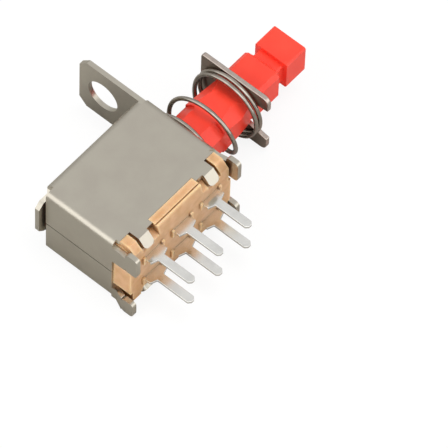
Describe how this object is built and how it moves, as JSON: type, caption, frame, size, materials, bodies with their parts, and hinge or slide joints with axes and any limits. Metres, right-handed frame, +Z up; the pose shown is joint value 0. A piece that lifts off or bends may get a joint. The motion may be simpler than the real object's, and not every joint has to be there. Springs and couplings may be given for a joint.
{
  "type": "pushbutton switch",
  "caption": "Latching push switch in a folded metal frame, with a sprung plunger, a fork-held return spring, flat solder terminals and a mounting ear.",
  "frame": {"origin": "centre of the folded frame's underside", "axes": "+X the way the plunger points, +Z up through the frame's broad face, the solder terminals point to -Y and the mounting ear to +Y"},
  "size_m": [0.0303, 0.0233, 0.009],
  "materials": {
    "nickel_plated_steel": "satin nickel plate",
    "amber_moulding": "moulded, translucent amber",
    "silver_plated_brass": "silver plate, bright",
    "red_moulding": "moulded, satin gloss",
    "contact_strip": "rolled strip",
    "wire_steel": "drawn wire, nickel plated",
    "fork_steel": "stamped, satin nickel plate"
  },
  "bodies": {
    "housing": {"terminal_base": "amber_moulding", "terminal_a1": "silver_plated_brass", "terminal_a2": "silver_plated_brass", "terminal_a3": "silver_plated_brass", "terminal_b1": "silver_plated_brass", "terminal_b2": "silver_plated_brass", "terminal_b3": "silver_plated_brass", "frame": "nickel_plated_steel", "return_spring": "wire_steel"},
    "plunger": {"slider": "red_moulding", "moving_contact_a": "contact_strip", "moving_contact_b": "contact_strip", "retaining_fork": "fork_steel"},
    "latch": {"latch_pin": "wire_steel"}
  },
  "joints": [
    {"name": "plunger_slide", "type": "slide", "parent": "housing", "child": "plunger", "axis": [1, 0, 0], "range_m": [-0.0035, 0], "stiffness_N_per_m": 500, "springref_m": 0.003, "deforming": ["return_spring"]},
    {"name": "latch_swing", "type": "hinge", "parent": "housing", "child": "latch", "pos_m": [-0.00603, -0.0004, 0.0082], "axis": [0, 0, 1], "range_deg": [0, 12]}
  ]
}
